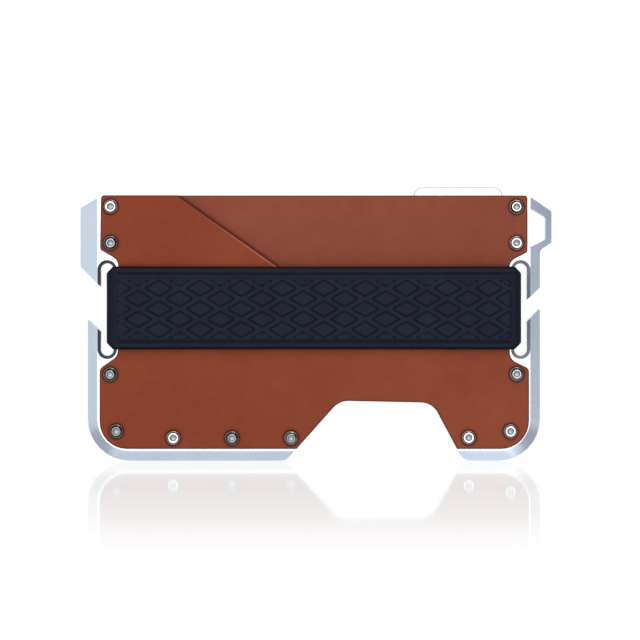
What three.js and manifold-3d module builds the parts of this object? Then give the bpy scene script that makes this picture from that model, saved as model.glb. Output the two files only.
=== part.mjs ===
// A minimalist card wallet: a machined aluminium chassis with a card bay, two leather panels screwed
// to its front, a silicone band through its side slots, and a metal insert plate that lifts out.
// Millimetres, +Z up, the leather front towards -Y. Inside the file the chassis' front face is y = 0;
// the exported group is shifted so that the origin is the centre of the base of the bounding box.

import * as THREE from "three";
import { mergeVertices } from "three/addons/utils/BufferGeometryUtils.js";
import Module from "manifold-3d";

const wasm = await Module();
wasm.setup();

// Driving dimensions.
const CHASSIS_DEPTH = 7.5; // front face to back face
const CHASSIS_TOP = 60.9;
const SIDE_REACH = 54.17; // wing tip and lanyard loop, each side of the middle
const BAR_LEFT = -52.4; // outer faces of the side bars
const BAR_RIGHT = 51.4;
const BAR_CORNER = 9.6; // radius of the lower corners
const RIM_FRONT = { left: -50.17, right: 49.12, bottom: 2.25, corner: 7.3 }; // edge of the flat front
const RIM_BACK = { left: -51.6, right: 50.6, bottom: 0.8, corner: 8.8 }; // edge of the flat back
const BEVEL_ANGLE = THREE.MathUtils.degToRad(33); // slope of the rim's bevels
const BEVEL_SPREAD = 6; // far enough to pass the wing and the loop

const BAY = { left: -44.3, right: 43.2, floor: 7.4, corner: 3 }; // takes an 85.6 x 54 mm card
const BACK_PLATE = 1.2;

const SLOT = { left: -47.9, right: 46.9, middle: 34.7, height: 21.2, width: 2.94 };
const SLOT_LIP = 0.76; // front chamfer of the slots
const SLOT_BACK_LIP = 0.45;

const LEATHER = 1.4; // thickness of each panel
const LEATHER_TOP = 60.8;
const FIT = 0.05; // play between faces that lie on each other

const BAND = { middle: 35.05, height: 18.9, neck: 16.7, thickness: 1.4, bend: 2.1, innerBend: 0.5 };
const BAND_CORNER = 1.35; // width of the slanted shoulders between the runs and the necks
const NECK_FRONT = -0.3; // the necks, narrower than the runs, start just in front of the chassis

const PLATE = { thickness: 0.75, left: -44, right: 43, top: 60.1, bottom: 7.5, behind: 0.1 };
const TAB = { left: 22.5, top: 62.95, corner: 2.2 };

const HEAD = { radius: 1.58, height: 1.1, flat: 1.15, side: 0.25 };
const SOCKET = { across: 1.3, depth: 0.75 }; // hexagon, flat to flat
const SHANK = { radius: 0.95, length: 6 };
const SCREW_HOLE = { radius: 1.1, depth: 5.5 };
const HEAD_SINK = 0.35; // how deep the heads press into the leather
const SEAT_RADIUS = 1.8;

// Screws: name, x, z, and whether the head sits on the front pocket or on the inner panel.
const SCREWS = [
  ["screw_left_top", -46.96, 58.2, "pocket"],
  ["screw_left_upper", -46.94, 49.88, "pocket"],
  ["screw_left_lower", -47.03, 19.86, "pocket"],
  ["screw_corner_left", -45.64, 6.86, "pocket"],
  ["screw_bottom_1", -32.6, 5.35, "pocket"],
  ["screw_bottom_2", -19.2, 5.3, "pocket"],
  ["screw_bottom_3", -5.7, 5.32, "pocket"],
  ["screw_bottom_4", 34.87, 5.44, "pocket"],
  ["screw_corner_right", 44.42, 6.86, "pocket"],
  ["screw_right_lower", 45.84, 19.94, "pocket"],
  ["screw_right_upper", 45.88, 49.9, "inner"],
  ["screw_right_top", 45.88, 58.2, "inner"],
];
const HEX_TURN = THREE.MathUtils.degToRad(37); // each socket is turned this much from the last

// Levels along y that follow from the thicknesses.
const INNER_BACK = -FIT;
const INNER_FRONT = INNER_BACK - LEATHER;
const POCKET_BACK = INNER_FRONT - FIT;
const POCKET_FRONT = POCKET_BACK - LEATHER;
const BAND_FRONT = POCKET_FRONT - FIT - BAND.thickness;
const BAND_BACK = CHASSIS_DEPTH + FIT + BAND.thickness;
const BAY_BACK = CHASSIS_DEPTH - BACK_PLATE;

const PAST = 5; // how far a cutting tool runs past the faces that it cuts
const ARC_STEPS = 4;
const ROUND_STEPS = 16;

const aluminium = new THREE.MeshStandardMaterial({ color: 0xc9ced6, metalness: 1, roughness: 0.35 });
const steel = new THREE.MeshStandardMaterial({ color: 0xd5d7da, metalness: 1, roughness: 0.2 });
const innerLeather = new THREE.MeshStandardMaterial({ color: 0x8c4a38, metalness: 0, roughness: 0.6 });
const pocketLeather = new THREE.MeshStandardMaterial({ color: 0x8a4632, metalness: 0, roughness: 0.6 });
const silicone = new THREE.MeshStandardMaterial({ color: 0x1c2030, metalness: 0, roughness: 0.55 });

// A solid for joining and cutting, from a closed geometry.
function solid(geometry) {
  const bare = geometry.clone();
  bare.deleteAttribute("normal");
  bare.deleteAttribute("uv");
  const merged = mergeVertices(bare, 1e-4);
  return new wasm.Manifold(
    new wasm.Mesh({
      numProp: 3,
      vertProperties: merged.attributes.position.array,
      triVerts: new Uint32Array(merged.index.array),
    }),
  );
}

// A named mesh from a solid.
function meshOf(name, made, material) {
  const { vertProperties, triVerts } = made.getMesh();
  const geometry = new THREE.BufferGeometry();
  geometry.setAttribute("position", new THREE.BufferAttribute(vertProperties, 3));
  geometry.setIndex(new THREE.BufferAttribute(triVerts, 1));
  geometry.computeVertexNormals();
  const mesh = new THREE.Mesh(geometry, material);
  mesh.name = name;
  return mesh;
}

// A closed outline in x and z from corners [x, z, radius], each rounded by a tangent arc.
function outline(corners) {
  const shape = new THREE.Shape();
  const points = corners.map(([x, z]) => new THREE.Vector2(x, z));
  corners.forEach(([x, z, radius = 0], i) => {
    if (radius === 0) {
      if (i === 0) shape.moveTo(x, z);
      else shape.lineTo(x, z);
      return;
    }
    const before = points.at(i - 1).clone().sub(points[i]).normalize();
    const after = points[(i + 1) % points.length].clone().sub(points[i]).normalize();
    const half = Math.acos(before.dot(after)) / 2;
    const inwards = before.clone().add(after).normalize();
    const centre = points[i].clone().addScaledVector(inwards, radius / Math.sin(half));
    const reach = radius / Math.tan(half);
    const start = points[i].clone().addScaledVector(before, reach);
    const end = points[i].clone().addScaledVector(after, reach);
    const clockwise = before.cross(after) > 0;
    if (i > 0) shape.lineTo(start.x, start.y);
    shape.absarc(centre.x, centre.y, radius, start.sub(centre).angle(), end.sub(centre).angle(), clockwise);
  });
  return shape;
}

// An outline extruded along y.
function prism(shape, yFront, yBack) {
  const geometry = new THREE.ExtrudeGeometry(shape, {
    depth: yBack - yFront,
    bevelEnabled: false,
    curveSegments: ARC_STEPS,
  });
  geometry.rotateX(Math.PI / 2);
  geometry.translate(0, yBack, 0);
  return solid(geometry);
}

// The same, but it spreads outwards from the outline at both ends.
function flared(shape, yFront, yBack, depth, spread) {
  const geometry = new THREE.ExtrudeGeometry(shape, {
    depth: yBack - yFront - 2 * depth,
    bevelThickness: depth,
    bevelSize: spread,
    bevelSegments: 1,
    curveSegments: ARC_STEPS,
  });
  geometry.rotateX(Math.PI / 2);
  geometry.translate(0, yBack - depth, 0);
  return solid(geometry);
}

// A round tool along y.
function rod(x, z, radius, yFront, yBack) {
  const geometry = new THREE.CylinderGeometry(radius, radius, yBack - yFront, ROUND_STEPS);
  geometry.translate(x, (yFront + yBack) / 2, z);
  return solid(geometry);
}

// Outside of the chassis, with the lanyard loop and the slanted gaps that run into the band slots.
function chassisOutline() {
  const insideLeftSlot = SLOT.left - 0.1;
  const insideRightSlot = SLOT.right + 0.1;
  return outline([
    [-48.95, CHASSIS_TOP, 0.4],
    [-SIDE_REACH, 58, 0.5],
    [-SIDE_REACH, 44.55, 0.4],
    [insideLeftSlot, 38.6],
    [insideLeftSlot, 28.4],
    [BAR_LEFT, 32.45, 0.15],
    [BAR_LEFT, 0, BAR_CORNER],
    [BAR_RIGHT, 0, BAR_CORNER],
    [BAR_RIGHT, 35, 0.15],
    [insideRightSlot, 30.6],
    [insideRightSlot, 35.7],
    [BAR_RIGHT, 39.75, 0.2],
    [BAR_RIGHT, 48.35, 1.6],
    [SIDE_REACH, 50.1, 0.5],
    [SIDE_REACH, 57.3, 0.5],
    [48.5, CHASSIS_TOP, 0.3],
  ]);
}

// Edge of a flat face, from which the rim's bevel falls away. It runs out past the top.
function rimOutline({ left, right, bottom, corner }) {
  return outline([
    [left, CHASSIS_TOP + 20],
    [left, bottom, corner],
    [right, bottom, corner],
    [right, CHASSIS_TOP + 20],
  ]);
}

function lanyardHole() {
  return outline([
    [47.9, 56.8, 0.4],
    [49.4, 57.85, 0.4],
    [52.72, 55.85, 0.5],
    [52.72, 50.8, 0.5],
    [49.35, 49.05, 0.4],
    [47.9, 50, 0.4],
  ]);
}

// The thumb notch, wider at the bottom, with rounded ends where it meets the base.
function notchOutline(clearance) {
  return outline([
    [-7 - 2 - clearance, -PAST],
    [-7 - 2 - clearance, 0],
    [-7 - clearance, 0, 2.2],
    [5.35 - clearance / 2, 13.85 + clearance, 4.6],
    [26.7 + clearance / 2, 13.4 + clearance, 4.7],
    [33.75 + clearance, 0, 3.4],
    [33.75 + 4 + clearance, 0],
    [33.75 + 4 + clearance, -PAST],
  ]);
}

function bayOutline() {
  return outline([
    [BAY.left, CHASSIS_TOP + PAST],
    [BAY.left, BAY.floor, BAY.corner],
    [BAY.right, BAY.floor, BAY.corner],
    [BAY.right, CHASSIS_TOP + PAST],
  ]);
}

// A band slot: an upright slot with round ends and chamfered lips.
function bandSlot(x) {
  const radius = SLOT.width / 2;
  const rise = SLOT.height / 2;
  const shape = outline([
    [x - radius, SLOT.middle - rise, radius - 0.01],
    [x + radius, SLOT.middle - rise, radius - 0.01],
    [x + radius, SLOT.middle + rise, radius - 0.01],
    [x - radius, SLOT.middle + rise, radius - 0.01],
  ]);
  return prism(shape, -PAST, CHASSIS_DEPTH + PAST)
    .add(flared(shape, -PAST, SLOT_LIP, SLOT_LIP, SLOT_LIP))
    .add(flared(shape, CHASSIS_DEPTH - SLOT_BACK_LIP, CHASSIS_DEPTH + PAST, SLOT_BACK_LIP, SLOT_BACK_LIP));
}

function chassis() {
  const bevelDepth = BEVEL_SPREAD * Math.tan(BEVEL_ANGLE);
  const far = 4 * CHASSIS_DEPTH;
  let body = prism(chassisOutline(), 0, CHASSIS_DEPTH)
    .intersect(flared(rimOutline(RIM_FRONT), 0, far, bevelDepth, BEVEL_SPREAD))
    .intersect(flared(rimOutline(RIM_BACK), -far, CHASSIS_DEPTH, bevelDepth, BEVEL_SPREAD))
    .subtract(prism(bayOutline(), -PAST, BAY_BACK))
    .subtract(prism(notchOutline(0), -PAST, CHASSIS_DEPTH + PAST))
    .subtract(prism(lanyardHole(), -PAST, CHASSIS_DEPTH + PAST))
    .subtract(bandSlot(SLOT.left))
    .subtract(bandSlot(SLOT.right));
  for (const [, x, z] of SCREWS) body = body.subtract(rod(x, z, SCREW_HOLE.radius, -PAST, SCREW_HOLE.depth));
  return meshOf("chassis", body, aluminium);
}

// Outside of both leather panels: it steps in round the band slots.
function leatherOutline() {
  return outline([
    [-49.15, LEATHER_TOP, 0.8],
    [-49.35, 48.4, 0.8],
    [-45.2, 46.05, 2.4],
    [-45.3, 24.05, 2.4],
    [-49.45, 21.2, 1.6],
    [-49.45, 2.85, 6.2],
    [48.66, 2.85, 6.4],
    [48.66, 21.2, 1.2],
    [44.26, 23.3, 2.4],
    [44.26, 45.75, 2.4],
    [48.4, 47.85, 0.8],
    [48.4, LEATHER_TOP, 0.7],
  ]);
}

// The part of the front panel that is cut away: a diagonal edge that turns level under the band.
function pocketOpening() {
  const slope = 0.708;
  const atTop = -31.6;
  const level = 35;
  return outline([
    [atTop - PAST / slope, LEATHER_TOP + PAST],
    [atTop + (LEATHER_TOP - level) / slope, level, 5],
    [BAR_RIGHT, level],
    [BAR_RIGHT, LEATHER_TOP + PAST],
  ]);
}

// A leather sheet with its notch, screw holes and the seats that the heads press into it.
function leatherSheet(yFront, yBack, seatsFor) {
  let sheet = prism(leatherOutline(), yFront, yBack).subtract(prism(notchOutline(0), -PAST, PAST));
  for (const [, x, z, seat] of SCREWS) {
    sheet = sheet.subtract(rod(x, z, SCREW_HOLE.radius, -PAST, PAST));
    if (seat === seatsFor) sheet = sheet.subtract(rod(x, z, SEAT_RADIUS, -PAST, yFront + HEAD_SINK));
  }
  return sheet;
}

function innerLeatherPanel() {
  return meshOf("inner_leather_panel", leatherSheet(INNER_FRONT, INNER_BACK, "inner"), innerLeather);
}

function frontPocketPanel() {
  const sheet = leatherSheet(POCKET_FRONT, POCKET_BACK, "pocket");
  return meshOf("front_pocket_panel", sheet.subtract(prism(pocketOpening(), -PAST, PAST)), pocketLeather);
}

// The band: a closed loop in the x-y plane, bearing on the slots' inner walls.
function siliconeBand() {
  const innerLeft = SLOT.left + SLOT.width / 2 - FIT;
  const innerRight = SLOT.right - SLOT.width / 2 + FIT;
  const loop = (grow, radius) => [
    [innerLeft - grow, BAND_FRONT + BAND.thickness - grow, radius],
    [innerRight + grow, BAND_FRONT + BAND.thickness - grow, radius],
    [innerRight + grow, BAND_BACK - BAND.thickness + grow, radius],
    [innerLeft - grow, BAND_BACK - BAND.thickness + grow, radius],
  ];
  const section = outline(loop(BAND.thickness, BAND.bend));
  section.holes.push(outline(loop(0, BAND.innerBend)));
  const geometry = new THREE.ExtrudeGeometry(section, {
    depth: BAND.height,
    bevelEnabled: false,
    curveSegments: ARC_STEPS,
  });
  geometry.translate(0, 0, BAND.middle - BAND.height / 2);
  let band = solid(geometry);
  for (const [edge, side] of [[innerLeft - BAND.thickness, -1], [innerRight + BAND.thickness, 1]]) {
    for (const up of [-1, 1]) {
      const runEnd = BAND.middle + (up * BAND.height) / 2;
      const neckEnd = BAND.middle + (up * BAND.neck) / 2;
      const shoulder = outline([
        [edge + side, runEnd + up],
        [edge + side, neckEnd],
        [edge, neckEnd],
        [edge - side * BAND_CORNER, runEnd],
        [edge - side * BAND_CORNER, runEnd + up],
      ]);
      const aboveNeck = outline([
        [edge + side, neckEnd],
        [edge - side * 2 * BAND.thickness, neckEnd],
        [edge - side * 2 * BAND.thickness, runEnd + up],
        [edge + side, runEnd + up],
      ]);
      band = band
        .subtract(prism(shoulder, BAND_FRONT - PAST, BAND_BACK + PAST))
        .subtract(prism(aboveNeck, NECK_FRONT, CHASSIS_DEPTH));
    }
  }
  return meshOf("silicone_band", band, silicone);
}

// The insert plate stands on the bay's floor against the back plate; its tab shows above the leather.
function insertPlate() {
  const shape = outline([
    [PLATE.left, PLATE.top, 1.5],
    [PLATE.left, PLATE.bottom, BAY.corner + 0.2],
    [PLATE.right, PLATE.bottom, BAY.corner + 0.2],
    [PLATE.right, TAB.top, TAB.corner],
    [TAB.left, TAB.top, TAB.corner],
    [TAB.left, PLATE.top, 0.4],
  ]);
  const back = BAY_BACK - PLATE.behind;
  const plate = prism(shape, back - PLATE.thickness, back).subtract(
    prism(notchOutline(0.6), -PAST, CHASSIS_DEPTH + PAST),
  );
  return meshOf("insert_plate", plate, steel);
}

// A button-head screw along +y, its head's seat at y = 0 and its domed top towards -y.
function screwSolid() {
  const profile = new THREE.Path();
  profile.moveTo(0, -SHANK.length);
  profile.lineTo(SHANK.radius - 0.25, -SHANK.length);
  profile.lineTo(SHANK.radius, 0.25 - SHANK.length);
  profile.lineTo(SHANK.radius, 0);
  profile.lineTo(HEAD.radius, 0);
  profile.lineTo(HEAD.radius, HEAD.side);
  profile.quadraticCurveTo(HEAD.radius - 0.05, HEAD.height, HEAD.flat, HEAD.height);
  profile.lineTo(0, HEAD.height);
  const turned = solid(new THREE.LatheGeometry(profile.getPoints(ARC_STEPS), ROUND_STEPS));
  const hexRadius = SOCKET.across / Math.sqrt(3);
  const hexagon = new THREE.CylinderGeometry(hexRadius, hexRadius, 2 * SOCKET.depth, 6);
  hexagon.translate(0, HEAD.height, 0);
  return turned.subtract(solid(hexagon));
}

function screws() {
  const made = screwSolid();
  const seats = {
    pocket: POCKET_FRONT + HEAD_SINK - FIT,
    inner: INNER_FRONT + HEAD_SINK - FIT,
  };
  return SCREWS.map(([name, x, z, seat], i) => {
    const screw = meshOf(name, made, steel);
    screw.geometry.rotateY(i * HEX_TURN);
    screw.rotation.x = Math.PI;
    screw.position.set(x, seats[seat], z);
    return screw;
  });
}

const wallet = new THREE.Group();
wallet.name = "minimalist_wallet";
wallet.add(chassis(), innerLeatherPanel(), frontPocketPanel(), siliconeBand(), insertPlate(), ...screws());
wallet.position.y = -(BAND_FRONT + BAND_BACK) / 2;

export default wallet;
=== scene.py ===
"""Minimalist wallet: aluminium chassis, two leather panels, silicone band, insert plate and twelve screws.

Shapes are worked out in millimetres and become Blender metres in new_object().
The object stands on z = 0 with its leather front towards -Y.
"""

import math
import random

import bmesh
import bpy
import numpy as np
from mathutils import Matrix, Vector, noise
from mathutils.geometry import delaunay_2d_cdt


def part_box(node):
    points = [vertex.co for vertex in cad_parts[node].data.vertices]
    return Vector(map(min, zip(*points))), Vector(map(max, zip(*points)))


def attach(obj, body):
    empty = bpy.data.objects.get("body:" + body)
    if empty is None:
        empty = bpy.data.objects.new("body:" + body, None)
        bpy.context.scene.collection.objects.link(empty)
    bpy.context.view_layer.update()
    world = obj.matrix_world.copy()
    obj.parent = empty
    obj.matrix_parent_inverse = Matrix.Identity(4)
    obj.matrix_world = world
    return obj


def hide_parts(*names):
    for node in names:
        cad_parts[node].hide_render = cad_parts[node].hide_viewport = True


MM = 0.001

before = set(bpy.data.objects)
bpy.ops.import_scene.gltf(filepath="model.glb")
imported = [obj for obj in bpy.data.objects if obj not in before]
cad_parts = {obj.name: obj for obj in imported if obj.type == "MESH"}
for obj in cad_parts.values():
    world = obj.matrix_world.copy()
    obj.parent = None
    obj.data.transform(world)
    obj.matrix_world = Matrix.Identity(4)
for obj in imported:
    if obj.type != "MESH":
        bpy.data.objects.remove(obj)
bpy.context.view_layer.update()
scene = bpy.context.scene


# ---------------------------------------------------------------- measures from the CAD frame, in mm

CHASSIS_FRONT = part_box("chassis")[0].y / MM
CHASSIS_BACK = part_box("chassis")[1].y / MM
CHASSIS_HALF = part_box("chassis")[1].x / MM
CHASSIS_ROUND = 9.6  # radius of the chassis' lower corners
POCKET_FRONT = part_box("front_pocket_panel")[0].y / MM
BAND_MIDDLE = (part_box("silicone_band")[0].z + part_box("silicone_band")[1].z) / 2 / MM
SLOT_MIDDLES = (-47.9, 46.9)
SLOT_HEIGHT = 34.7  # z of the slots' middle


# ---------------------------------------------------------------- camera

FRAME_WIDTH = 146.7  # width of the view at the chassis' front face
LENS_DISTANCE = 800.0
VIEW_CENTRE = (0.9, 32.3)  # x and z at the middle of the picture


def make_camera():
    data = bpy.data.cameras.new("camera")
    data.sensor_width = 36.0
    data.lens = data.sensor_width * LENS_DISTANCE / FRAME_WIDTH
    data.clip_start = 0.01
    data.clip_end = 20.0
    camera = bpy.data.objects.new("camera", data)
    x, z = VIEW_CENTRE
    camera.location = (x * MM, (CHASSIS_FRONT - LENS_DISTANCE) * MM, z * MM)
    camera.rotation_euler = (math.radians(90), 0, 0)
    scene.collection.objects.link(camera)
    scene.camera = camera


make_camera()


# ---------------------------------------------------------------- node materials


class Nodes:
    """A short way to write a node material around one Principled shader."""

    def __init__(self, name, **sockets):
        self.material = bpy.data.materials.new(name)
        self.material.use_nodes = True
        self.tree = self.material.node_tree
        self.shader = self.tree.nodes["Principled BSDF"]
        for socket, value in sockets.items():
            self.shader.inputs[socket.replace("_", " ")].default_value = value

    def add(self, kind, inputs=None, **settings):
        node = self.tree.nodes.new("ShaderNode" + kind)
        for key, value in settings.items():
            setattr(node, key, value)
        for key, value in (inputs or {}).items():
            if isinstance(value, bpy.types.NodeSocket):
                self.tree.links.new(value, node.inputs[key])
            else:
                node.inputs[key].default_value = value
        return node

    def place(self, stretch=(1, 1, 1)):
        """Object coordinates, scaled per axis."""
        coordinates = self.add("TexCoord").outputs["Object"]
        return self.add("Mapping", {"Vector": coordinates, "Scale": stretch}).outputs["Vector"]

    def noise(self, where, scale, detail=3.0, roughness=0.5):
        inputs = {"Vector": where, "Scale": scale, "Detail": detail, "Roughness": roughness}
        return self.add("TexNoise", inputs).outputs["Fac"]

    def steps(self, factor, *stops):
        """A colour ramp: stops are (position, colour)."""
        node = self.add("ValToRGB", {"Fac": factor})
        ramp = node.color_ramp
        while len(ramp.elements) < len(stops):
            ramp.elements.new(0.5)
        for element, (position, colour) in zip(ramp.elements, stops):
            element.position = position
            element.color = (*colour, 1)
        return node.outputs["Color"]

    def span(self, factor, low, high, start=0.0, end=1.0):
        """Maps start..end of a factor to low..high."""
        inputs = {"Value": factor, "From Min": start, "From Max": end, "To Min": low, "To Max": high}
        return self.add("MapRange", inputs).outputs["Result"]

    def mix(self, factor, a, b, blend="MIX"):
        node = self.add("Mix", data_type="RGBA", blend_type=blend)
        for index, value in ((0, factor), (6, a), (7, b)):
            if isinstance(value, bpy.types.NodeSocket):
                self.tree.links.new(value, node.inputs[index])
            elif index == 0:
                node.inputs[index].default_value = value
            else:
                node.inputs[index].default_value = (*value, 1)
        return node.outputs[2]

    def attribute(self, name):
        return self.add("Attribute", attribute_name=name).outputs["Fac"]

    def bump(self, height, distance, strength=1.0, below=None):
        inputs = {"Height": height, "Distance": distance, "Strength": strength}
        if below is not None:
            inputs["Normal"] = below
        return self.add("Bump", inputs).outputs["Normal"]

    def set(self, **sockets):
        for socket, value in sockets.items():
            self.tree.links.new(value, self.shader.inputs[socket.replace("_", " ")])
        return self.material


PAINTED_CUT_HIGHLIGHT = (0.30, 0.098, 0.062)  # the leather's painted highlight along the pocket's cut
LIP_PAINTED_REFLECTION_LEFT = (0.078, 0.095, 0.118)  # the slot lips' painted dark reflection of the band, at the left and right of the chassis
LIP_PAINTED_REFLECTION_RIGHT = (0.25, 0.29, 0.335)
STEEL_PAINTED_SHADE = (0.02, 0.021, 0.024)  # painted shade on steel


def leather_material(name, dark, light, edge, right_tint):
    """Smooth top-grain leather: soft mottling, fine pores and a burnished edge, with painted shade, a painted
    highlight and a colour tint towards the right.
    """
    m = Nodes(name, Specular_IOR_Level=0.1)
    where = m.place()
    broad = m.noise(where, 38, 2)
    cloudy = m.noise(where, 260, 4, 0.6)
    fine = m.noise(where, 2600, 2)
    body = m.steps(m.span(broad, 0, 1, 0.3, 0.7), (0, dark), (1, light))
    across = m.add("SeparateXYZ", {"Vector": where}).outputs["X"]
    # The colour is multiplied by a tint towards the right.
    body = m.mix(m.span(across, 0, 1, -0.03, 0.02), body, right_tint, "MULTIPLY")
    body = m.mix(m.span(cloudy, 0, 0.22, 0.35, 0.75), body, [c * 0.72 for c in dark])
    body = m.mix(m.span(fine, 0, 0.18, 0.4, 0.8), body, [c * 1.25 for c in light])
    # Painted shade: darker round the screw heads, along the band's edges and beside the pocket's cut.
    body = m.mix(m.attribute("press_and_painted_shade"), body, [c * 0.35 for c in dark])
    # A painted highlight along the pocket's cut.
    body = m.mix(m.attribute("painted_highlight"), body, PAINTED_CUT_HIGHLIGHT)
    body = m.mix(m.attribute("burnish"), body, edge)
    cells = m.add("TexVoronoi", {"Vector": where, "Scale": 1700.0}, feature="DISTANCE_TO_EDGE")
    pores = m.span(cells.outputs["Distance"], 0, 1, 0, 0.12)
    grain = m.bump(pores, 0.00002, 0.35)
    swell = m.bump(cloudy, 0.00012, 0.35, below=grain)
    rough = m.span(cloudy, 0.46, 0.62, 0.3, 0.7)
    return m.set(Base_Color=body, Roughness=rough, Normal=swell)


def aluminium_material():
    """Bead-blasted aluminium with a satin sheen and faint machining marks; painted light and shade multiply
    its colour, and its slot lips carry a painted dark reflection of the band.
    """
    m = Nodes("satin_aluminium", Metallic=1.0)
    where = m.place()
    blast = m.noise(where, 9000, 2)
    cloudy = m.noise(where, 150, 3)
    marks = m.noise(m.place((40, 40, 2400)), 1, 2)
    body = m.steps(cloudy, (0.3, (0.63, 0.70, 0.77)), (0.7, (0.68, 0.74, 0.80)))
    # Painted light and shade, multiplied into the metal's colour.
    painted_shading = m.add("Attribute", attribute_name="painted_shading").outputs["Color"]
    body = m.mix(1.0, body, painted_shading, "MULTIPLY")
    # The slot lips get a painted dark reflection of the band in place of the metal, darker on the left than
    # on the right.
    lip = m.attribute("lip")
    across = m.add("SeparateXYZ", {"Vector": where}).outputs["X"]
    painted_darkness = m.steps(m.span(across, 0, 1, -0.03, 0.03), (0, LIP_PAINTED_REFLECTION_LEFT), (1, LIP_PAINTED_REFLECTION_RIGHT))
    body = m.mix(lip, body, painted_darkness)
    rough = m.span(cloudy, 0.22, 0.28, 0.3, 0.7)
    normal = m.bump(blast, 0.000005, 0.5)
    normal = m.bump(marks, 0.000003, 0.35, below=normal)
    return m.set(Base_Color=body, Metallic=m.span(lip, 1, 0), Roughness=rough, Normal=normal)


def steel_material(name, colour, low, high, marks_scale):
    """Stainless steel with fine scratches, darkened by painted shade where an attribute asks for it."""
    m = Nodes(name, Metallic=1.0)
    scratches = m.noise(m.place(marks_scale), 1, 3)
    body = m.steps(scratches, (0.2, [c * 0.9 for c in colour]), (0.8, colour))
    # Painted shade mixed in by attribute.
    body = m.mix(m.attribute("painted_steel_shade"), body, STEEL_PAINTED_SHADE)
    normal = m.bump(scratches, 0.000004, 0.4)
    return m.set(Base_Color=body, Roughness=m.span(scratches, low, high, 0.2, 0.8), Normal=normal)


def silicone_material():
    """Moulded silicone: matt navy black with a fine eroded skin, darkened by painted shade."""
    m = Nodes("moulded_silicone", Specular_IOR_Level=0.09)
    where = m.place()
    skin = m.noise(where, 5200, 3)
    cloudy = m.noise(where, 180, 3)
    body = m.steps(cloudy, (0.3, (0.0060, 0.0083, 0.0173)), (0.75, (0.0088, 0.0117, 0.0226)))
    # Painted shade in the grooves and round the plain ends.
    body = m.mix(m.attribute("shade"), body, (0.0048, 0.0056, 0.0135))
    # Painted shade, near black, along the rounded edges and over the loop's inside.
    body = m.mix(m.attribute("edge"), body, (0.0022, 0.0019, 0.0026))
    rough = m.span(cloudy, 0.42, 0.56, 0.3, 0.7)
    return m.set(Base_Color=body, Roughness=rough, Normal=m.bump(skin, 0.00001, 0.3))


# ---------------------------------------------------------------- mesh helpers


def new_object(name, vertices, faces, material, body, replaced, sharp=32.0, attributes=None):
    """A shaded mesh object from points in millimetres, riding on a body and standing for CAD nodes."""
    mesh = bpy.data.meshes.new(name)
    mesh.from_pydata([tuple(c * MM for c in v) for v in vertices], [], faces)
    for key, values in (attributes or {}).items():
        mesh.attributes.new(key, "FLOAT", "POINT").data.foreach_set("value", values)
    bm = bmesh.new()
    bm.from_mesh(mesh)
    shade_by_angle(bm, sharp)
    bm.to_mesh(mesh)
    bm.free()
    return place(bpy.data.objects.new(name, mesh), material, body, replaced)


def shade_by_angle(bm, sharp):
    """Smooth shading, broken along edges sharper than the angle."""
    bmesh.ops.recalc_face_normals(bm, faces=bm.faces)
    limit = math.radians(sharp)
    for face in bm.faces:
        face.smooth = True
    for edge in bm.edges:
        edge.smooth = edge.calc_face_angle(math.pi) < limit


def place(piece, material, body, replaced):
    scene.collection.objects.link(piece)
    weighted = piece.modifiers.new("weighted_normals", "WEIGHTED_NORMAL")
    weighted.keep_sharp = True
    weighted.weight = 100
    piece.data.materials.clear()
    piece.data.materials.append(material)
    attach(piece, body)
    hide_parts(*replaced)
    return piece


def softened(node, name, material, body, radius, paint, segments=2, sharp=30.0):
    """The CAD node's own shape with its hard edges broken by a small radius; paint(bm) adds attributes."""
    bm = bmesh.new()
    bm.from_mesh(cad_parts[node].data)
    bmesh.ops.scale(bm, vec=(1 / MM,) * 3, verts=bm.verts)
    bmesh.ops.remove_doubles(bm, verts=bm.verts, dist=0.002)
    bmesh.ops.dissolve_limit(bm, angle_limit=math.radians(0.6), verts=bm.verts, edges=bm.edges)
    hard = [e for e in bm.edges if e.calc_face_angle(0) > math.radians(25)]
    bmesh.ops.bevel(
        bm, geom=hard, offset=radius, offset_type="OFFSET", segments=segments, profile=0.5,
        affect="EDGES", clamp_overlap=True,
    )
    bmesh.ops.remove_doubles(bm, verts=bm.verts, dist=0.0005)
    shade_by_angle(bm, sharp)
    paint(bm)
    bmesh.ops.scale(bm, vec=(MM,) * 3, verts=bm.verts)
    mesh = bpy.data.meshes.new(name)
    bm.to_mesh(mesh)
    bm.free()
    return place(bpy.data.objects.new(name, mesh), material, body, [node])


FLAT_PAINTED_LIGHT = (1.3, 1.22, 1.14)  # painted light that whitens the chassis' front flat
# painted light on the slot walls
SLOT_WALL_PAINTED_LIGHT = (1.5, 1.4, 1.28)
LOWER_BEVELS = 31.0  # bevels lower than this get painted shade of their own
# painted shade on the left bevels
LEFT_BEVEL_PAINTED_SHADE = 0.89
CORNER_PAINTED_SHADE = {-1: 0.42, 1: 0.5}  # how much painted shade darkens the bevel round the left and right corners
SLOT_REACH = (2.35, 11.6)  # half width and half height of the area round a slot


def near_slot(centre):
    across = min(abs(centre.x - x) for x in SLOT_MIDDLES)
    return across < SLOT_REACH[0] and abs(centre.z - SLOT_HEIGHT) < SLOT_REACH[1]


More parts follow.
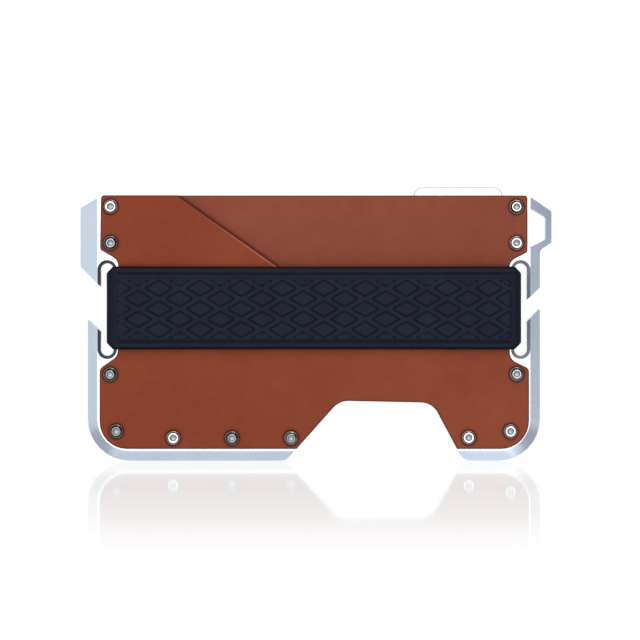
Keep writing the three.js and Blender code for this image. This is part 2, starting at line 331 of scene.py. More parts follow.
def chassis_painted_shading(face, corner):
    """The painted light and shade that the metal's colour is multiplied by at a corner of a face of the
    chassis, in millimetres.
    """
    centre, normal = face.calc_center_median(), face.normal
    if normal.y < -0.98:
        return FLAT_PAINTED_LIGHT
    if abs(normal.y) < 0.3:
        return SLOT_WALL_PAINTED_LIGHT if near_slot(centre) else (1, 1, 1)
    if normal.y > -0.5 or normal.y < -0.95 or centre.z > LOWER_BEVELS:
        return (1, 1, 1)
    # Painted shade darkens the bevel round the two lower corners, and a painted bluish reflection tints it
    # along the bottom.
    across = max(0.0, abs(corner.x) - (CHASSIS_HALF - CHASSIS_ROUND))
    down = max(0.0, CHASSIS_ROUND - corner.z)
    if centre.z > CHASSIS_ROUND or normal.z > -0.05:
        down = 0.0
    length = max(1e-6, math.hypot(across, down))
    low = down / length
    diagonal = 2 * across * down / length**2
    side = -1 if centre.x < 0 else 1
    dim = 1 - CORNER_PAINTED_SHADE[side] * float(smooth_step(diagonal, 0.2, 0.95))
    dim *= LEFT_BEVEL_PAINTED_SHADE if side < 0 else 1 + 0.08 * low * low
    return (dim * (1 + 0.01 * low), dim * (1 + 0.05 * low), dim * (1 + 0.15 * low))


def paint_chassis(bm):
    lip = bm.faces.layers.float.new("lip")
    painted_shading = bm.loops.layers.float_color.new("painted_shading")
    for face in bm.faces:
        centre = face.calc_center_median()
        # Marks the slot lips for their painted dark reflection.
        face[lip] = float(
            near_slot(centre) and -0.9 < face.normal.y < -0.4 and centre.y < CHASSIS_FRONT + 0.85
        )
        # Painted light and shade at each corner of the face.
        for loop in face.loops:
            loop[painted_shading] = (*chassis_painted_shading(face, loop.vert.co), 1)


def paint_plate(bm):
    """The insert plate's blanked edges get painted shade, darker than its faces."""
    painted_steel_shade = bm.faces.layers.float.new("painted_steel_shade")
    for face in bm.faces:
        face[painted_steel_shade] = 0.0 if abs(face.normal.y) > 0.97 else 0.6


def outline_of(node, level):
    """The outer edge of the CAD node's flat face at y = level, as points (x, z) in order."""
    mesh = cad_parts[node].data
    keys = [tuple(round(c / MM, 3) for c in v.co) for v in mesh.vertices]
    ends = {}
    for polygon in mesh.polygons:
        corners = [keys[i] for i in polygon.vertices]
        if any(abs(c[1] - level) > 0.002 for c in corners):
            continue
        for a, b in zip(corners, corners[1:] + corners[:1]):
            ends[(a, b)] = True
    rim = {a: b for a, b in ends if (b, a) not in ends}
    loops = []
    while rim:
        start, point = next(iter(rim.items()))
        loop = [start]
        del rim[start]
        while point != start:
            loop.append(point)
            point = rim.pop(point)
        loops.append(np.array([(p[0], p[2]) for p in loop]))
    outer = max(loops, key=lambda loop: abs(signed_area(loop)))
    return outer if signed_area(outer) > 0 else outer[::-1]


def signed_area(loop):
    x, z = loop[:, 0], loop[:, 1]
    return 0.5 * float(np.sum(x * np.roll(z, -1) - np.roll(x, -1) * z))


def divided(loop, step):
    """The loop with its long edges cut into equal parts no longer than step."""
    points = []
    for a, b in zip(loop, np.roll(loop, -1, axis=0)):
        count = max(1, math.ceil(np.linalg.norm(b - a) / step))
        points += [a + (b - a) * i / count for i in range(count)]
    return np.array(points)


def inset(loop, distance):
    """A counter-clockwise loop moved inwards."""
    before = loop - np.roll(loop, 1, axis=0)
    after = np.roll(loop, -1, axis=0) - loop
    normals = []
    for edge in (before, after):
        edge = edge / np.linalg.norm(edge, axis=1, keepdims=True)
        normals.append(np.stack([-edge[:, 1], edge[:, 0]], axis=1))
    middle = normals[0] + normals[1]
    middle /= np.linalg.norm(middle, axis=1, keepdims=True)
    reach = distance / np.maximum(0.4, np.sum(middle * normals[0], axis=1, keepdims=True))
    return loop + middle * reach


def circle(centre, radius, count):
    angles = np.arange(count) * 2 * math.pi / count
    return np.stack([centre[0] + radius * np.cos(angles), centre[1] + radius * np.sin(angles)], axis=1)


def inside(points, loop):
    """Which points lie inside the loop."""
    found = np.zeros(len(points), bool)
    for (x0, z0), (x1, z1) in zip(loop, np.roll(loop, -1, axis=0)):
        if z0 == z1:
            continue
        crosses = (points[:, 1] < z0) != (points[:, 1] < z1)
        at = x0 + (points[:, 1] - z0) * (x1 - x0) / (z1 - z0)
        found ^= crosses & (points[:, 0] < at)
    return found


def distance_to(points, loop):
    """The distance from each point to the loop."""
    nearest = np.full(len(points), np.inf)
    for a, b in zip(loop, np.roll(loop, -1, axis=0)):
        edge = b - a
        along = np.clip((points - a) @ edge / (edge @ edge), 0, 1)
        nearest = np.minimum(nearest, np.linalg.norm(points - a - along[:, None] * edge, axis=1))
    return nearest


def triangulated(loops, loose):
    """Triangles over loops kept as edges and loose points: (points, triangles)."""
    points, edges = [], []
    for loop in loops:
        start = len(points)
        points += [Vector(p) for p in loop]
        count = len(loop)
        edges += [(start + i, start + (i + 1) % count) for i in range(count)]
    points += [Vector(p) for p in loose]
    made, _, faces, *_ = delaunay_2d_cdt(points, edges, [], 0, 1e-6)
    return np.array([tuple(p) for p in made]), [tuple(f) for f in faces]


def smooth_step(value, low, high):
    t = np.clip((np.asarray(value, float) - low) / (high - low), 0, 1)
    return t * t * (3 - 2 * t)


def rim_edges(faces):
    """The directed edges that only one face uses."""
    used = set()
    for face in faces:
        used.update(zip(face, face[1:] + face[:1]))
    return [(a, b) for a, b in used if (b, a) not in used]


# ---------------------------------------------------------------- screws

SCREW_NODES = sorted(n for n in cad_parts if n.startswith("screw_"))
HEAD_RADIUS = 1.58
SOCKET = 1.36  # flat to flat
SOCKET_CONE = 0.3  # how far the drilled floor goes down to its middle
FLOOR_PAINTED_SHADE, SOCKET_PAINTED_SHADE = 0.45, 0.86  # how much painted shade darkens the middle of the socket's floor and the socket's sides
# Each head's flat radius and how much painted shade and painted dark reflection darken its flat, dome and
# rim.
HEADS = {
    "screw_left_upper": (0.96, 0.35, 0.95, 0.7),
    "screw_left_lower": (0.93, 0.5, 0.96, 0.68),
    "screw_corner_left": (0.97, 0.6, 0.95, 0.68),
    "screw_bottom_2": (0.93, 0.45, 0.96, 0.66),
    "screw_bottom_3": (0.93, 0.5, 0.85, 0.75),
    "screw_right_lower": (0.98, 0.25, 0.84, 0.68),
    "screw_right_top": (1.03, 0.0, 0.93, 0.45),
}
# A head with no painted shade on its flat, but painted dark reflection on its dome and rim.
BRIGHT_HEAD = (1.13, 0.0, 0.55, 0.72)


def screw_centre(node):
    """x of the screw's axis, y of its head's top and z of its axis."""
    low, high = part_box(node)
    return (low.x + high.x) / 2 / MM, low.y / MM, (low.z + high.z) / 2 / MM


SCREW_AXES = {n: screw_centre(n) for n in SCREW_NODES}


def hexagon_radius(angle, across):
    """Radius of a hexagon, flat to flat across, at an angle."""
    turned = (angle + math.pi / 6) % (math.pi / 3) - math.pi / 6
    return across / 2 / math.cos(turned)


def screw_profile(flat, length):
    """Rings (kind, radius, level) from the socket's floor over the domed head to the shank's tip."""
    rings = [("hex", 1.0, -0.74), ("hex", 1.0, -0.13), ("round", 0.8, -0.02), ("round", 0.83, 0)]
    rings += [("round", flat - 0.03, 0), ("round", flat, -0.01)]
    dome = [(0.05, -0.06), (0.11, -0.16), (0.17, -0.28)]
    rings += [("round", flat + out, level) for out, level in dome]
    side = [(1.37, -0.44), (1.41, -0.58), (1.43, -0.66)]
    lip = [(1.45, -0.685), (1.52, -0.70), (1.555, -0.735), (HEAD_RADIUS, -0.81)]
    under = [(HEAD_RADIUS, -1.04), (HEAD_RADIUS - 0.06, -1.1), (1.05, -1.1)]
    rings += [("round", radius, level) for radius, level in side + lip + under]
    shank, pitch = 0.93, 0.4
    for i in range(int((length - 1.7) / pitch)):
        start = -1.4 - i * pitch
        rings += [("round", shank, start), ("round", shank - 0.14, start - pitch / 2)]
    return rings + [("round", shank, 0.3 - length), ("round", shank - 0.25, -length)]


def screw_mesh(look, length, turn, tilt):
    """A button-head screw along y with its head's top at y = 0 and a bevelled hexagon socket."""
    around = 48
    flat, flat_painted_shade, dome_painted_shade, rim_painted_shade = look
    rings = screw_profile(flat, length)
    vertices = [Vector((0, rings[0][2] - SOCKET_CONE, 0))]
    painted_steel_shade = [FLOOR_PAINTED_SHADE]
    # Painted shade and painted dark reflection, ring by ring: in the socket and on the flat, dome and rim.
    for kind, radius, level in rings:
        if kind == "hex":
            painted_darkness = SOCKET_PAINTED_SHADE
        elif radius < flat + 0.02:
            painted_darkness = flat_painted_shade
        else:
            painted_darkness = dome_painted_shade if radius < 1.46 else rim_painted_shade
        painted_steel_shade += [painted_darkness] * around
        for i in range(around):
            angle = 2 * math.pi * i / around
            r = hexagon_radius(angle, SOCKET) * radius if kind == "hex" else radius
            vertices.append(Vector((r * math.cos(angle), level, r * math.sin(angle))))
    vertices.append(Vector((0, rings[-1][2], 0)))
    painted_steel_shade.append(0.0)
    faces = [(0, 1 + i, 1 + (i + 1) % around) for i in range(around)]
    for ring in range(len(rings) - 1):
        a, b = 1 + ring * around, 1 + (ring + 1) * around
        faces += [(a + i, b + i, b + (i + 1) % around, a + (i + 1) % around) for i in range(around)]
    last = 1 + (len(rings) - 1) * around
    faces += [(last + i, len(vertices) - 1, last + (i + 1) % around) for i in range(around)]
    spin = Matrix.Rotation(turn, 3, "Y")
    lean = Matrix.Rotation(tilt[0], 3, "X") @ Matrix.Rotation(tilt[1], 3, "Z")
    vertices = [lean @ (spin @ v) for v in vertices]
    # The head's top faces -Y in the wallet's frame.
    return [(v.x, -v.y, v.z) for v in vertices], faces, painted_steel_shade


def make_screws(material):
    chance = random.Random(7)
    for node in SCREW_NODES:
        x, y, z = SCREW_AXES[node]
        length = (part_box(node)[1].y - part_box(node)[0].y) / MM
        tilt = (math.radians(chance.uniform(-1.5, 1.5)), math.radians(chance.uniform(-1.5, 1.5)))
        turn = chance.uniform(0, math.pi / 3)
        points, faces, painted_steel_shade = screw_mesh(HEADS.get(node, BRIGHT_HEAD), length, turn, tilt)
        points = [(x + px, y + py, z + pz) for px, py, pz in points]
        new_object(
            node + "_detail", points, faces, material, "wallet", [node], sharp=38,
            attributes={"painted_steel_shade": painted_steel_shade},
        )


# ---------------------------------------------------------------- leather panels

EDGE_ROUND = 0.42  # radius of the rounded front edge
BACK_ROUND = 0.18
HOLE = 1.12
PRESS_DEPTH = 0.37  # how far the heads sink into the leather
RIM_STEP = 0.55  # longest edge along a panel's outline
RIM_INSETS = (0.04, 0.1, 0.18, 0.28, EDGE_ROUND, 0.7)
PRESS_RINGS = (0.04, 0.1, 0.17, 0.26, 0.4, 0.6, 0.85, 1.2)  # distances from a head's edge
GRID, GRID_JITTER = 1.15, 0.22  # spacing of the loose points, and how far they stray
RIM_GAP, SCREW_GAP = 1.0, 3.4  # how near the loose points come to the outline and to a screw's axis
BAND_SHADOW_ROWS = (9.0, 9.25, 9.5, 9.75, 10.1)  # half heights of the rows of points that carry the painted shadow along the band's edges
CUT_ROWS = (0.0, 0.25, 0.5, 0.8, 1.2)  # distances of the rows of points beside the pocket's cut


def pocket_cut():
    """The two ends (x, z) of the pocket's slanted cut, its outline's longest slanted side."""
    loop = outline_of("front_pocket_panel", POCKET_FRONT)
    sides = list(zip(loop, np.roll(loop, -1, axis=0)))
    return max(sides, key=lambda side: min(abs(side[1] - side[0])))


def seats(front):
    """Centres of the screws that pass through a panel, and whether their heads press on its face."""
    return [((x, z), front - 0.9 < top < front) for x, top, z in SCREW_AXES.values()]


def press_of(distance):
    """How far the leather is pressed down at a distance from a screw's axis, from 0 to 1."""
    lip = 0.6 * (1 - smooth_step(distance, HEAD_RADIUS + 0.06, HEAD_RADIUS + 0.24))
    roll = 0.4 * (1 - smooth_step(distance, HEAD_RADIUS + 0.05, HEAD_RADIUS + 1.15))
    return lip + roll


def painted_band_shadow(points):
    """How much painted shadow darkens the leather along the band's edges at points (x, z), from 0 to 1."""
    path = BandPath()
    starts = np.clip(points[:, 0] - path.x0 - BAND_BEND, 0, path.run)
    half = np.array([path.height(along) / 2 for along in starts])
    above = points[:, 1] > path.middle
    away = np.abs(points[:, 1] - path.middle) - half
    strength = np.where(above, 0.7, 0.45)
    return (1 - smooth_step(away, 0.0, np.where(above, 0.8, 0.5))) * (away > -1.5) * strength


def panel_loops(rim, holes):
    """The panel's outline with its insets, then the rings round every hole."""
    loops = [rim] + [inset(rim, distance) for distance in RIM_INSETS]
    rings = [HOLE, 1.45] + [HEAD_RADIUS + distance for distance in PRESS_RINGS]
    for centre, pressed in holes:
        loops += [circle(centre, radius, 28) for radius in (rings if pressed else rings[:1])]
    return loops


def panel_points(rim, holes, is_inner, chance):
    """A jittered grid, with rows of points along the band and, on the inner panel, along the pocket's cut."""
    xs = np.arange(rim[:, 0].min(), rim[:, 0].max(), GRID)
    zs = np.arange(rim[:, 1].min(), rim[:, 1].max(), GRID)
    grid = np.stack(np.meshgrid(xs, zs), axis=-1).reshape(-1, 2)
    grid = grid + chance.uniform(-GRID_JITTER, GRID_JITTER, grid.shape)
    rows = [(x, BAND_MIDDLE + sign * z) for x in xs for sign in (-1, 1) for z in BAND_SHADOW_ROWS]
    if is_inner:
        start, end = pocket_cut()
        along = (end - start) / np.linalg.norm(end - start)
        up = np.array([-along[1], along[0]]) * (1 if along[0] > 0 else -1)
        rows += [tuple(point + up * away) for point in np.linspace(start, end, 40) for away in CUT_ROWS]
    loose = np.concatenate([grid, rows])
    keep = inside(loose, rim) & (distance_to(loose, rim) > RIM_GAP)
    for centre, _ in holes:
        keep &= np.linalg.norm(loose - centre, axis=1) > SCREW_GAP
    return loose[keep]


def panel_triangles(rim, holes, loose):
    """The panel's flat points and the triangles that lie on leather."""
    points, triangles = triangulated(panel_loops(rim, holes), loose)
    middles = np.array([points[list(t)].mean(axis=0) for t in triangles])
    kept = inside(middles, rim)
    for centre, _ in holes:
        kept &= np.linalg.norm(middles - centre, axis=1) > HOLE - 0.01
    return points, [t for t, k in zip(triangles, kept) if k]


def cut_painted_shadow_and_highlight(points, depth, is_inner):
    """The painted shadow beside the pocket's cut on the inner panel, and the painted highlight along the
    cut's own edge.
    """
    nothing = np.zeros(len(points))
    beside = distance_to(points, np.array(pocket_cut()))
    if is_inner:
        # Painted shadow on the inner panel, fading away from the cut.
        return 0.75 * (1 - smooth_step(beside, 0.0, 0.9)) ** 2, nothing
    # A painted highlight on the pocket's rounded edge along the cut.
    painted_highlight = (beside < 0.9) * smooth_step(depth, 0.2, 0.42) * (1 - smooth_step(depth, 0.42, 0.72))
    painted_highlight = painted_highlight * smooth_step(points[:, 0], -27, -14) * smooth_step(-points[:, 0], 5.0, 7.5)
    return nothing, painted_highlight


def rounded_drop(depth, radius):
    """How far a rounded edge falls back at a depth from the outline."""
    return radius - np.sqrt(np.maximum(0, radius**2 - np.maximum(0, radius - depth) ** 2))


def leather_panel(node, name, material, seed):
    low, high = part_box(node)
    front, back = low.y / MM, high.y / MM
    is_inner = front > POCKET_FRONT + 0.5
    rim = divided(outline_of(node, front), RIM_STEP)
    holes = [seat for seat in seats(front) if inside(np.array([seat[0]]), rim)[0]]
    loose = panel_points(rim, holes, is_inner, np.random.default_rng(seed))
    points, triangles = panel_triangles(rim, holes, loose)
    count = len(points)

    depth = distance_to(points, rim)
    press_and_painted_shade, painted_shading = np.zeros(count), np.zeros(count)
    for centre, pressed in holes:
        if pressed:
            away = np.linalg.norm(points - centre, axis=1)
            press_and_painted_shade = np.maximum(press_and_painted_shade, press_of(away))
            # Painted shade in a ring round each pressed screw head.
            painted_shading = np.maximum(painted_shading, 0.55 * (1 - smooth_step(away - HEAD_RADIUS, 0.1, 0.8)))
    shadow, painted_highlight = cut_painted_shadow_and_highlight(points, depth, is_inner)
    # Painted shadow along the band's edges and beside the pocket's cut joins the painted shade round the
    # heads.
    painted_shading = np.maximum(np.maximum(painted_shading, 0.85 * painted_band_shadow(points)), shadow)
    burnish = [1 - smooth_step(depth, 0.08, 0.3), 1 - smooth_step(depth, 0.0, 0.2)]

    wave = np.array([noise.noise(Vector((x * 0.06, z * 0.06, seed))) for x, z in points])
    wave = (wave + 0.6) * 0.05 * smooth_step(depth, 0.3, 6.0)
    y_front = front + rounded_drop(depth, EDGE_ROUND) + press_and_painted_shade * PRESS_DEPTH + np.clip(wave, 0, 0.08)
    y_back = back - rounded_drop(depth, BACK_ROUND)
    vertices = [(x, y, z) for (x, z), y in zip(points, y_front)]
    vertices += [(x, y, z) for (x, z), y in zip(points, y_back)]
    faces = [tuple(t) for t in triangles]
    faces += [tuple(count + i for i in reversed(t)) for t in triangles]
    faces += [(b, a, a + count, b + count) for a, b in rim_edges(triangles)]
    attributes = {
        "burnish": np.concatenate(burnish),
        # painted shade, on the front face only
        "press_and_painted_shade": np.concatenate([painted_shading, np.zeros(count)]),
        # painted highlight, on the front face only
        "painted_highlight": np.concatenate([painted_highlight, np.zeros(count)]),
    }
    return new_object(
        name, vertices, faces, material, "wallet", [node], sharp=50, attributes=attributes,
    )


# ---------------------------------------------------------------- silicone band

BAND_BEND = 2.1
BAND_THICKNESS = 1.4
BAND_HEIGHT = 18.9
BAND_NECK = 16.7
BAND_SHOULDER = 1.35  # width of the slanted shoulders at the ends of the runs
BAND_WAIST = 18.7  # height of the stretched front run at its middle
PATTERN = {"pitch": 9.411, "row": 4.72, "phase": 1.796}  # diamonds along and across the band
DIAMOND = {"half": 3.66, "rise": 2.07, "round": 0.6, "margin": 0.3}
FIELD = 6.75  # half height of the patterned field
FIELD_DROP = 0.25  # the field lies this much below the band's middle
BARS = -0.1  # levels under the band's outer surface
# Loops of a diamond from its groove's rim inwards: inset and level.
DIAMOND_LOOPS = [(0.0, BARS), (0.12, -0.27), (0.32, -0.27), (0.5, -0.05), (0.6, -0.03)]
# Half heights and levels across the patterned field's frame and across the plain rims.
FIELD_EDGE = [(FIELD + 0.15, BARS), (FIELD + 0.3, -0.2), (FIELD + 0.42, -0.06)]
RIM_PROFILE = [
    (7.5, -0.05), (7.64, -0.3), (8.0, -0.3), (8.14, -0.03), (8.8, 0.0),
    (9.05, -0.08), (9.28, -0.24), (9.45, -0.5),
]
INSIDE_ROWS = [(9.45, 0.25 - BAND_THICKNESS), (9.25, -BAND_THICKNESS)]  # half height and level
BEND_ROWS = (-5.2, -3.5, -1.75, 0.0, 1.75, 3.5, 5.2)
SMALLEST_DIAMOND = 2.2  # area; the field's frame cuts smaller ones away
SHADE_LEFT, SHADE_RIGHT = 0.6, 0.95  # how much painted shade darkens the band's plain ends


class BandPath:
    """The outer line of the band's loop, by distance along it from the left end of the front run."""

    def __init__(self):
        low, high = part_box("silicone_band")
        self.x0, self.y0, self.z0 = (c / MM for c in low)
        self.x1, self.y1, self.z1 = (c / MM for c in high)
        self.run = self.x1 - self.x0 - 2 * BAND_BEND
        self.side = self.y1 - self.y0 - 2 * BAND_BEND
        self.arc = math.pi / 2 * BAND_BEND
        self.half = self.run + self.side + 2 * self.arc
        self.length = 2 * self.half
        self.middle = (self.z0 + self.z1) / 2

    def at(self, along):
        """(x, y), outward normal and how far round a bend the point is, at a distance along the loop."""
        turned = along >= self.half
        s = along - self.half if turned else along
        if s < self.run:
            x, y, nx, ny = s, 0.0, 0.0, -1.0
        elif s < self.run + self.arc:
            a = (s - self.run) / BAND_BEND
            nx, ny = math.sin(a), -math.cos(a)
            x, y = self.run + BAND_BEND * nx, BAND_BEND * (1 + ny)
        elif s < self.run + self.arc + self.side:
            x, y, nx, ny = self.run + BAND_BEND, BAND_BEND + s - self.run - self.arc, 1.0, 0.0
        else:
            a = (s - self.run - self.arc - self.side) / BAND_BEND
            nx, ny = math.cos(a), math.sin(a)
            x, y = self.run + BAND_BEND * nx, BAND_BEND + self.side + BAND_BEND * ny
        x, y = x + self.x0 + BAND_BEND, y + self.y0
        if turned:  # the second half is the first, turned half way round
            x, y, nx, ny = self.x0 + self.x1 - x, self.y0 + self.y1 - y, -nx, -ny
        return x, y, nx, ny

    def height(self, along):
        """The band's full height at a distance along the loop."""
        s = along % self.half
        if s < self.run:
            bow = math.sin(math.pi * s / self.run) ** 0.8
            return BAND_HEIGHT + (BAND_WAIST - BAND_HEIGHT) * bow
        bend = min((s - self.run) / self.arc, (self.half - s) / self.arc, 1.0)
        inwards = BAND_BEND * (1 - math.sin(bend * math.pi / 2))
        return BAND_HEIGHT + (BAND_NECK - BAND_HEIGHT) * max(0.0, 1 - inwards / BAND_SHOULDER)

    def stretch(self, along, y):
        """What heights on the strip are multiplied by: in the slots the band is as low as its necks."""
        height = self.height(along)
        if CHASSIS_FRONT - 0.3 < y < CHASSIS_BACK + 0.05:
            height = min(height, BAND_NECK)
        return height / BAND_HEIGHT

    def relief(self, along):
        """How much of the moulded relief is left at a distance along the loop: none round the bends."""
        s = along % self.half
        return float(smooth_step(s, 0.05, 0.9) * (1 - smooth_step(s, self.run - 0.6, self.run - 0.05)))

    def stations(self):
        """Distances along the loop at which the plain strips are cut."""
        found = []
        for start in (0.0, self.half):
            ends = np.array([0.25, 0.5, 0.75])
            found += [start, *(ends + start)]
            found += list(np.arange(1, self.run - 1, (self.run - 2) / 64) + start)
            found += list(start + self.run - 1 + np.array([0.0, 0.25, 0.5, 0.75]))
            found += list(np.arange(0, self.arc, self.arc / 10) + start + self.run)
            found += list(np.arange(0, self.side, self.side / 6) + start + self.run + self.arc)
            found += list(np.arange(0, self.arc, self.arc / 10) + start + self.run + self.arc + self.side)
        return [s for s in found if s < self.length - 1e-6]


def rounded(corners, radius):
    """A convex counter-clockwise outline with its corners rounded."""
    points = []
    for i, here in enumerate(corners):
        before = corners[i - 1] - here
        after = corners[(i + 1) % len(corners)] - here
        lengths = np.linalg.norm(before), np.linalg.norm(after)
        before, after = before / lengths[0], after / lengths[1]
        half = math.acos(float(np.clip(before @ after, -1, 1))) / 2
        cut = min(radius / math.tan(half), 0.4 * min(lengths))
        for t in np.linspace(0, 1, 5):
            a, b = here + before * cut * (1 - t), here + after * cut * t
            points.append(a + (b - a) * t)
    return np.array(points)


def clipped(loop, axis, limit, sign):
    """The part of a convex loop where sign * coordinate is at most sign * limit."""
    kept = []
    for a, b in zip(loop, np.roll(loop, -1, axis=0)):
        inside_a, inside_b = sign * a[axis] <= sign * limit, sign * b[axis] <= sign * limit
        if inside_a:
            kept.append(a)
        if inside_a != inside_b:
            kept.append(a + (b - a) * (limit - a[axis]) / (b[axis] - a[axis]))
    return np.array(kept)


def diamonds(path):
    """The base outlines of the raised diamonds on the front run, as (along, z from the middle)."""
    found = []
    margin = DIAMOND["margin"]
    origin = path.x0 + BAND_BEND
    columns = int(path.run / PATTERN["pitch"]) + 3
    for column in range(-columns, columns + 1):
        x = PATTERN["phase"] + column * PATTERN["pitch"] / 2 - origin
        offset = 0.5 * (column % 2)
        for row in range(-2, 3):
            z = (row + offset) * PATTERN["row"] - FIELD_DROP
            loop = np.array([
                (x + DIAMOND["half"], z), (x, z + DIAMOND["rise"]),
                (x - DIAMOND["half"], z), (x, z - DIAMOND["rise"]),
            ])
            frame_cuts = (
                (0, path.run - margin, 1), (0, margin, -1),
                (1, FIELD - FIELD_DROP, 1), (1, -FIELD - FIELD_DROP, -1),
            )
            for axis, limit, sign in frame_cuts:
                if len(loop):
                    loop = clipped(loop, axis, limit, sign)
            if len(loop) > 2 and signed_area(loop) > SMALLEST_DIAMOND:
                found.append(rounded(loop, DIAMOND["round"]))
    return found


class BandStrip:
    """The band's outside laid flat: points (along, z), their levels and the edges kept between them."""

    def __init__(self, path):
        self.path = path
        self.stations = path.stations()
        self.points, self.levels, self.edges = [], [], []
        ends = self.stations + [path.length]
        lines = [(-z, level) for z, level in reversed(RIM_PROFILE)]
        lines += [(-z - FIELD_DROP, level) for z, level in reversed(FIELD_EDGE)]
        lines += [(z - FIELD_DROP, level) for z, level in FIELD_EDGE] + RIM_PROFILE
        self.rims = [self.add_line([(u, z) for u in ends], level, False) for z, level in lines]
        for start in (0.0, path.half):
            for base in diamonds(path):
                for distance, level in DIAMOND_LOOPS:
                    self.add_line([(u + start, z) for u, z in inset(base, distance)], level, True)
        # Loose points keep the triangles small round the bends.
        for u in ends:
            if not 0.8 < u % path.half < path.run - 0.3:
                self.add_points([(u, z) for z in BEND_ROWS], BARS)

    def add_points(self, row, level):
        start = len(self.points)
        self.points.extend(Vector(point) for point in row)
        self.levels.extend([level] * len(row))
        return start

    def add_line(self, row, level, closed):
        start = self.add_points(row, level)
        last = len(row) if closed else len(row) - 1
        self.edges.extend((start + i, start + (i + 1) % len(row)) for i in range(last))
        return start

    def triangles(self):
        """The strip's flat points, each with the inputs that made it, and the triangles between them."""
        flat, _, triangles, made_from, *_ = delaunay_2d_cdt(self.points, self.edges, [], 0, 1e-4)
        return flat, made_from, triangles


def band_shade(path, along, z, level, relief):
    """How much painted shade darkens the silicone at a point: in the grooves, and where the relief fades at
    the bends.
    """
    groove = relief * (0.9 if level < -0.26 and abs(z) < 9.0 else 0.0)
    end = SHADE_LEFT if along % path.half < path.run / 2 else SHADE_RIGHT
    return max(groove, end * (1 - relief))


def wrapped(strip):
    """The strip on its loop, its end meeting its start, and which vertex each input point became."""
    path = strip.path
    flat, made_from, triangles = strip.triangles()
    vertices, shades, edge_painted_shade, index, known, of_input = [], [], [], [], {}, {}
    for point, sources in zip(flat, made_from):
        u, z = point
        level = strip.levels[sources[0]] if sources else BARS
        relief = path.relief(u)
        shade = band_shade(path, u, z, level, relief)
        if abs(z) < 9.0:
            level *= relief
        u = 0.0 if u > path.length - 1e-3 else u
        key = (round(z, 2), level) if u < 1e-3 else len(index) + 1e6
        if key not in known:
            x, y, nx, ny = path.at(u)
            known[key] = len(vertices)
            shades.append(shade)
            edge_painted_shade.append(float(smooth_step(abs(z), 8.8, 9.1)))
            x, y = x + nx * level, y + ny * level
            vertices.append((x, y, path.middle + z * path.stretch(u, y)))
        index.append(known[key])
        of_input.update((source, known[key]) for source in sources)
    faces = [tuple(index[i] for i in t) for t in triangles]
    faces = [f for f in faces if len(set(f)) == 3]
    return vertices, faces, shades, edge_painted_shade, of_input


def make_band(material):
    path = BandPath()
    strip = BandStrip(path)
    count = len(strip.stations)
    vertices, faces, shades, edge_painted_shade, of_input = wrapped(strip)

    # The smooth inside of the loop, joined to the outside along both edges.
    sides = []
    for sign, rim in ((-1, strip.rims[0]), (1, strip.rims[-1])):
        rows = [[of_input[rim + i] for i in range(count)]]
        for z, level in INSIDE_ROWS:
            row = []
            for u in strip.stations:
                x, y, nx, ny = path.at(u)
                x, y = x + nx * level, y + ny * level
                row.append(len(vertices))
                vertices.append((x, y, path.middle + sign * z * path.stretch(u, y)))
            rows.append(row)
        sides.append(rows)
    low, high = sides
    strips = list(zip(low, low[1:])) + [(low[2], high[2])] + list(zip(high[::-1], high[1::-1]))
    for a, b in strips:
        faces += [(a[i], a[(i + 1) % count], b[(i + 1) % count], b[i]) for i in range(count)]
    inner = len(vertices) - len(shades)
    # Painted shade: grooves and plain ends, and near black on the rounded edges and the whole inside of the
    # loop.
    attributes = {"shade": shades + [0.0] * inner, "edge": edge_painted_shade + [1.0] * inner}
    return new_object(
        "silicone_band_detail", vertices, faces, material, "band", ["silicone_band"],
        sharp=34, attributes=attributes,
    )


# ---------------------------------------------------------------- the wallet

aluminium = aluminium_material()
insert_steel = steel_material("satin_steel", (0.86, 0.87, 0.88), 0.24, 0.34, (3000, 40, 40))
screw_steel = steel_material("polished_steel", (0.88, 0.89, 0.91), 0.10, 0.17, (600, 600, 600))
silicone = silicone_material()
inner_leather = leather_material(
    "inner_leather", (0.190, 0.044, 0.022), (0.222, 0.054, 0.029), (0.040, 0.013, 0.009),
    (0.97, 0.97, 0.97),
)
pocket_leather = leather_material(
    "pocket_leather", (0.182, 0.034, 0.0135), (0.212, 0.042, 0.0175), (0.050, 0.008, 0.0035),
    (1.0, 1.15, 1.22),
)

softened("chassis", "chassis_detail", aluminium, "wallet", 0.12, paint_chassis)
softened("insert_plate", "insert_plate_detail", insert_steel, "insert", 0.2, paint_plate)
leather_panel("inner_leather_panel", "inner_leather_detail", inner_leather, 3)
leather_panel("front_pocket_panel", "front_pocket_detail", pocket_leather, 5)
make_band(silicone)
make_screws(screw_steel)


# ---------------------------------------------------------------- studio


def ramp_node(tree, factor, stops):
    """A colour ramp with stops (position, colour) on a factor."""
    node = tree.nodes.new("ShaderNodeValToRGB")
    while len(node.color_ramp.elements) < len(stops):
        node.color_ramp.elements.new(0.5)
    for element, (position, colour) in zip(node.color_ramp.elements, stops):
        element.position = position
        element.color = (*colour, 1)
    tree.links.new(factor, node.inputs["Fac"])
    return node.outputs["Color"]


def remap(tree, value, low, high):
    node = tree.nodes.new("ShaderNodeMapRange")
    node.inputs["From Min"].default_value = low
    node.inputs["From Max"].default_value = high
    tree.links.new(value, node.inputs["Value"])
    return node.outputs["Result"]


POLISH = ((0.0, 0.0), (0.24, 0.1), (0.5, 0.225), (0.78, 0.285), (0.9, 0.27), (1.0, 0.2))  # by depth
FLOOR_HALF = 4.0  # metres
FLOOR_LEVEL = -0.00005  # a hair under the wallet


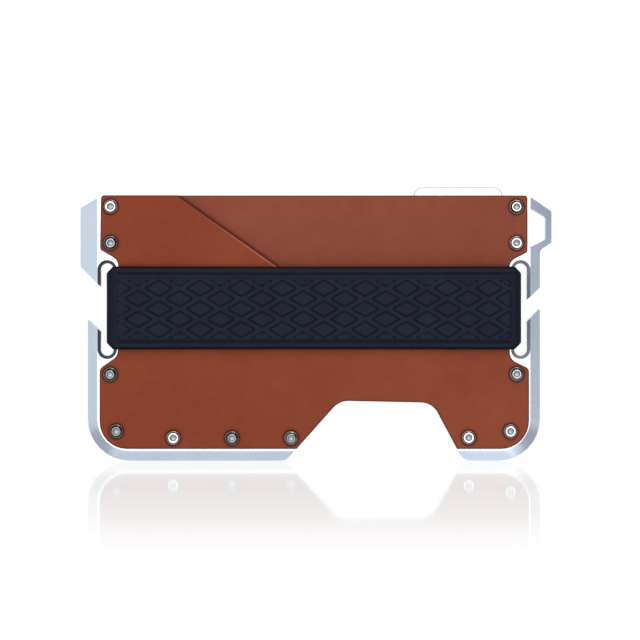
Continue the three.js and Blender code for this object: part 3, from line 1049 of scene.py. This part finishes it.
def make_floor():
    """A lit white table whose polish fades out towards the camera."""
    mesh = bpy.data.meshes.new("floor")
    signs = ((-1, -1), (1, -1), (1, 1), (-1, 1))
    corners = [(x * FLOOR_HALF, y * FLOOR_HALF, FLOOR_LEVEL) for x, y in signs]
    mesh.from_pydata(corners, [], [(0, 1, 2, 3)])
    floor = bpy.data.objects.new("floor", mesh)
    scene.collection.objects.link(floor)
    material = bpy.data.materials.new("pale_floor")
    material.use_nodes = True
    tree = material.node_tree
    tree.nodes.clear()
    glow = tree.nodes.new("ShaderNodeEmission")
    glow.inputs["Color"].default_value = (1.0, 1.0, 1.0, 1)
    glow.inputs["Strength"].default_value = 1.06
    gloss = tree.nodes.new("ShaderNodeBsdfAnisotropic")
    gloss.inputs["Roughness"].default_value = 0.04
    split = tree.nodes.new("ShaderNodeSeparateXYZ")
    tree.links.new(tree.nodes.new("ShaderNodeTexCoord").outputs["Object"], split.inputs[0])
    depth = remap(tree, split.outputs["Y"], -0.36, -0.06)
    polish = ramp_node(tree, depth, [(at, (p, p, p)) for at, p in POLISH])
    mixed = tree.nodes.new("ShaderNodeMixShader")
    out = tree.nodes.new("ShaderNodeOutputMaterial")
    tree.links.new(polish, mixed.inputs["Fac"])
    tree.links.new(glow.outputs[0], mixed.inputs[1])
    tree.links.new(gloss.outputs[0], mixed.inputs[2])
    tree.links.new(mixed.outputs[0], out.inputs["Surface"])
    mesh.materials.append(material)


def make_world():
    """A studio: a bright front, a dark belt all round, a white backdrop, and a dimmer right side."""
    world = bpy.data.worlds.new("studio")
    world.use_nodes = True
    tree = world.node_tree
    background = tree.nodes["Background"]
    split = tree.nodes.new("ShaderNodeSeparateXYZ")
    tree.links.new(tree.nodes.new("ShaderNodeTexCoord").outputs["Generated"], split.inputs[0])
    depth = ramp_node(tree, remap(tree, split.outputs["Y"], -1, 1), [
        (0.0, (1.0, 1.0, 1.0)), (0.14, (1.0, 1.0, 1.0)),
        (0.24, (0.57, 0.59, 0.61)), (0.33, (0.50, 0.53, 0.57)),
        (0.42, (0.25, 0.26, 0.28)), (0.5, (0.09, 0.09, 0.10)), (0.66, (0.09, 0.09, 0.10)),
        (0.85, (0.56, 0.56, 0.56)), (1.0, (0.56, 0.56, 0.56)),
    ])
    side = ramp_node(tree, remap(tree, split.outputs["X"], -1, 1), [
        (0.0, (0.94, 0.96, 0.99)), (0.2, (1, 1, 1)), (0.6, (1, 1, 1)), (0.85, (0.47, 0.485, 0.55)),
        (1.0, (0.30, 0.32, 0.405)),
    ])
    both = tree.nodes.new("ShaderNodeMix")
    both.data_type = "RGBA"
    both.blend_type = "MULTIPLY"
    both.inputs[0].default_value = 1.0
    tree.links.new(depth, both.inputs[6])
    tree.links.new(side, both.inputs[7])
    tree.links.new(both.outputs[2], background.inputs["Color"])
    background.inputs["Strength"].default_value = 1.85
    scene.world = world


def make_light(name, place_mm, aim_mm, size_mm, power, colour):
    data = bpy.data.lights.new(name, "AREA")
    data.shape = "RECTANGLE"
    data.size, data.size_y = (s * MM for s in size_mm)
    data.energy = power
    data.color = colour
    light = bpy.data.objects.new(name, data)
    light.location = Vector(place_mm) * MM
    light.rotation_euler = (Vector(aim_mm) - Vector(place_mm)).to_track_quat("-Z", "Y").to_euler()
    scene.collection.objects.link(light)


make_floor()
make_world()
make_light("key", (150, -420, 700), (0, 0, 30), (420, 320), 1.6, (1.0, 0.985, 0.97))
scene.view_settings.view_transform = "Standard"
